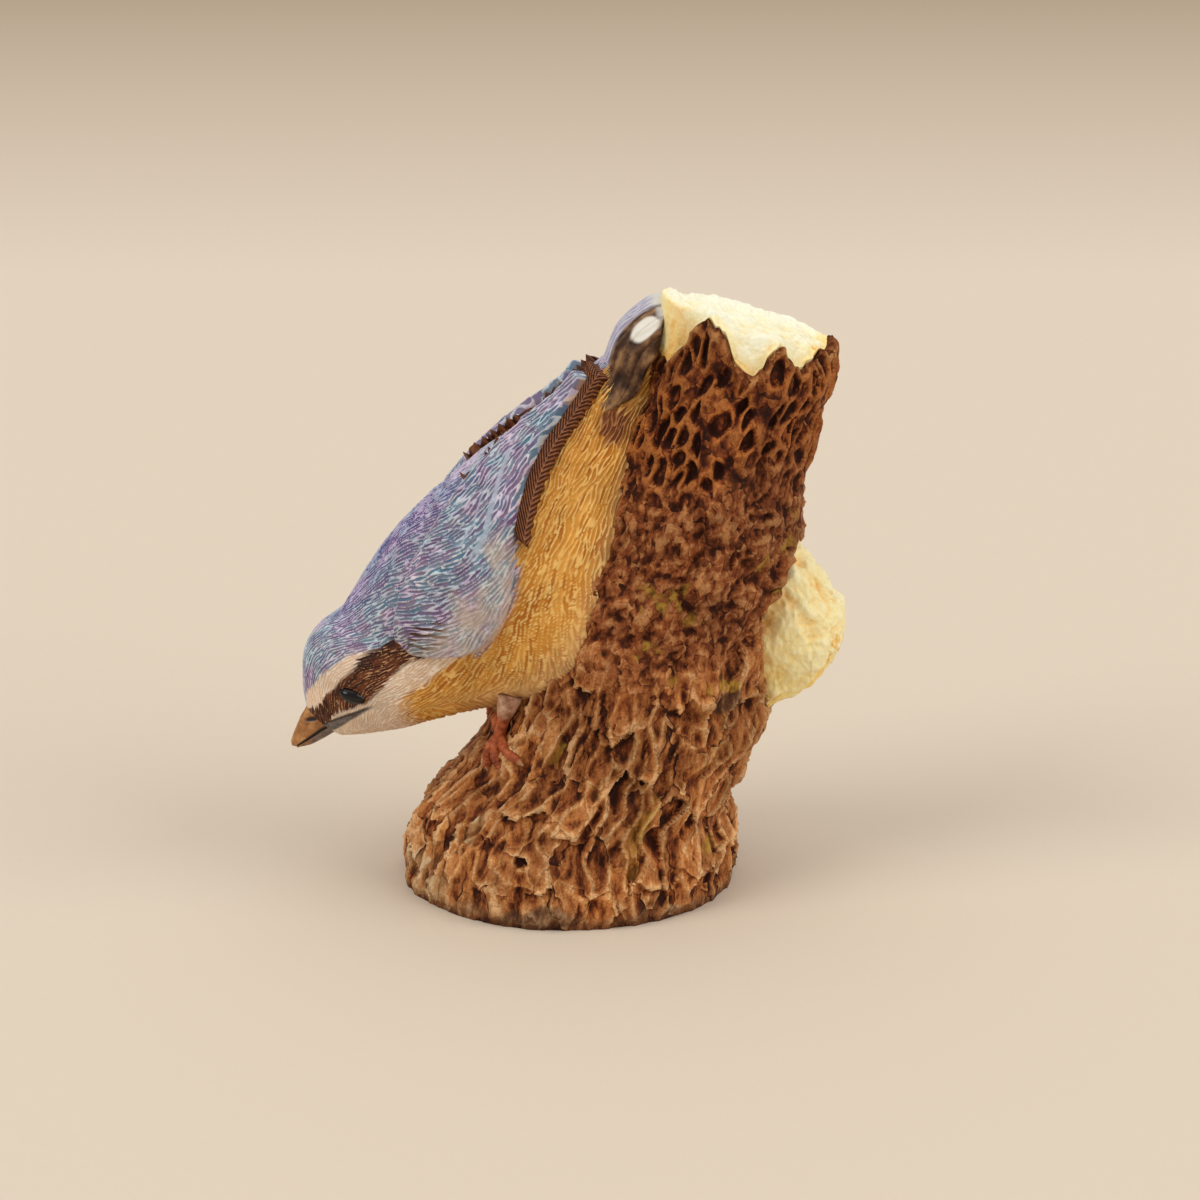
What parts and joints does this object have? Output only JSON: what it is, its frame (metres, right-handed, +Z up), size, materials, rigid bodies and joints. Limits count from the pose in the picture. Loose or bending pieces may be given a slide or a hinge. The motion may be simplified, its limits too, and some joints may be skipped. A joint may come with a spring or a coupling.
{
  "type": "bird figurine",
  "caption": "Small painted figurine of a nuthatch clinging head-down to a leaning broken tree stump. It stands on its flat underside.",
  "frame": {"origin": "centre of the stump's flat underside, on the surface that the figurine stands on", "axes": "+Z up; +X towards the torn limb, away from the bird's bill; -Y towards the side that shows the bird's left flank"},
  "size_m": [0.0598, 0.0355, 0.0645],
  "materials": {
    "bark": "painted cast resin, rough, dry-brushed",
    "pale_wood": "painted cast resin, rough",
    "belly_plumage": "painted cast resin, finely grooved",
    "head_plumage": "painted cast resin, finely grooved",
    "blue_plumage": "painted cast resin, finely grooved",
    "brown_plumage": "painted cast resin, finely grooved",
    "dark_tail": "painted cast resin, white spot",
    "bill": "painted cast resin, satin",
    "eye": "glossy varnish",
    "foot": "painted cast resin",
    "pin_steel": "plain wire"
  },
  "bodies": {
    "root": {"stump_bark": "bark", "stump_wood": "pale_wood", "torn_limb": "pale_wood", "perch_pin": "pin_steel", "bird_body": "belly_plumage", "bird_head": "head_plumage", "upper_mandible": "bill", "lower_mandible": "bill", "left_eye": "eye", "right_eye": "eye", "left_wing": "blue_plumage", "right_wing": "blue_plumage", "left_primaries": "brown_plumage", "right_primaries": "brown_plumage", "tail_centre": "blue_plumage", "left_tail_feathers": "dark_tail", "right_tail_feathers": "dark_tail", "left_foot": "foot", "right_foot": "foot"}
  },
  "joints": []
}
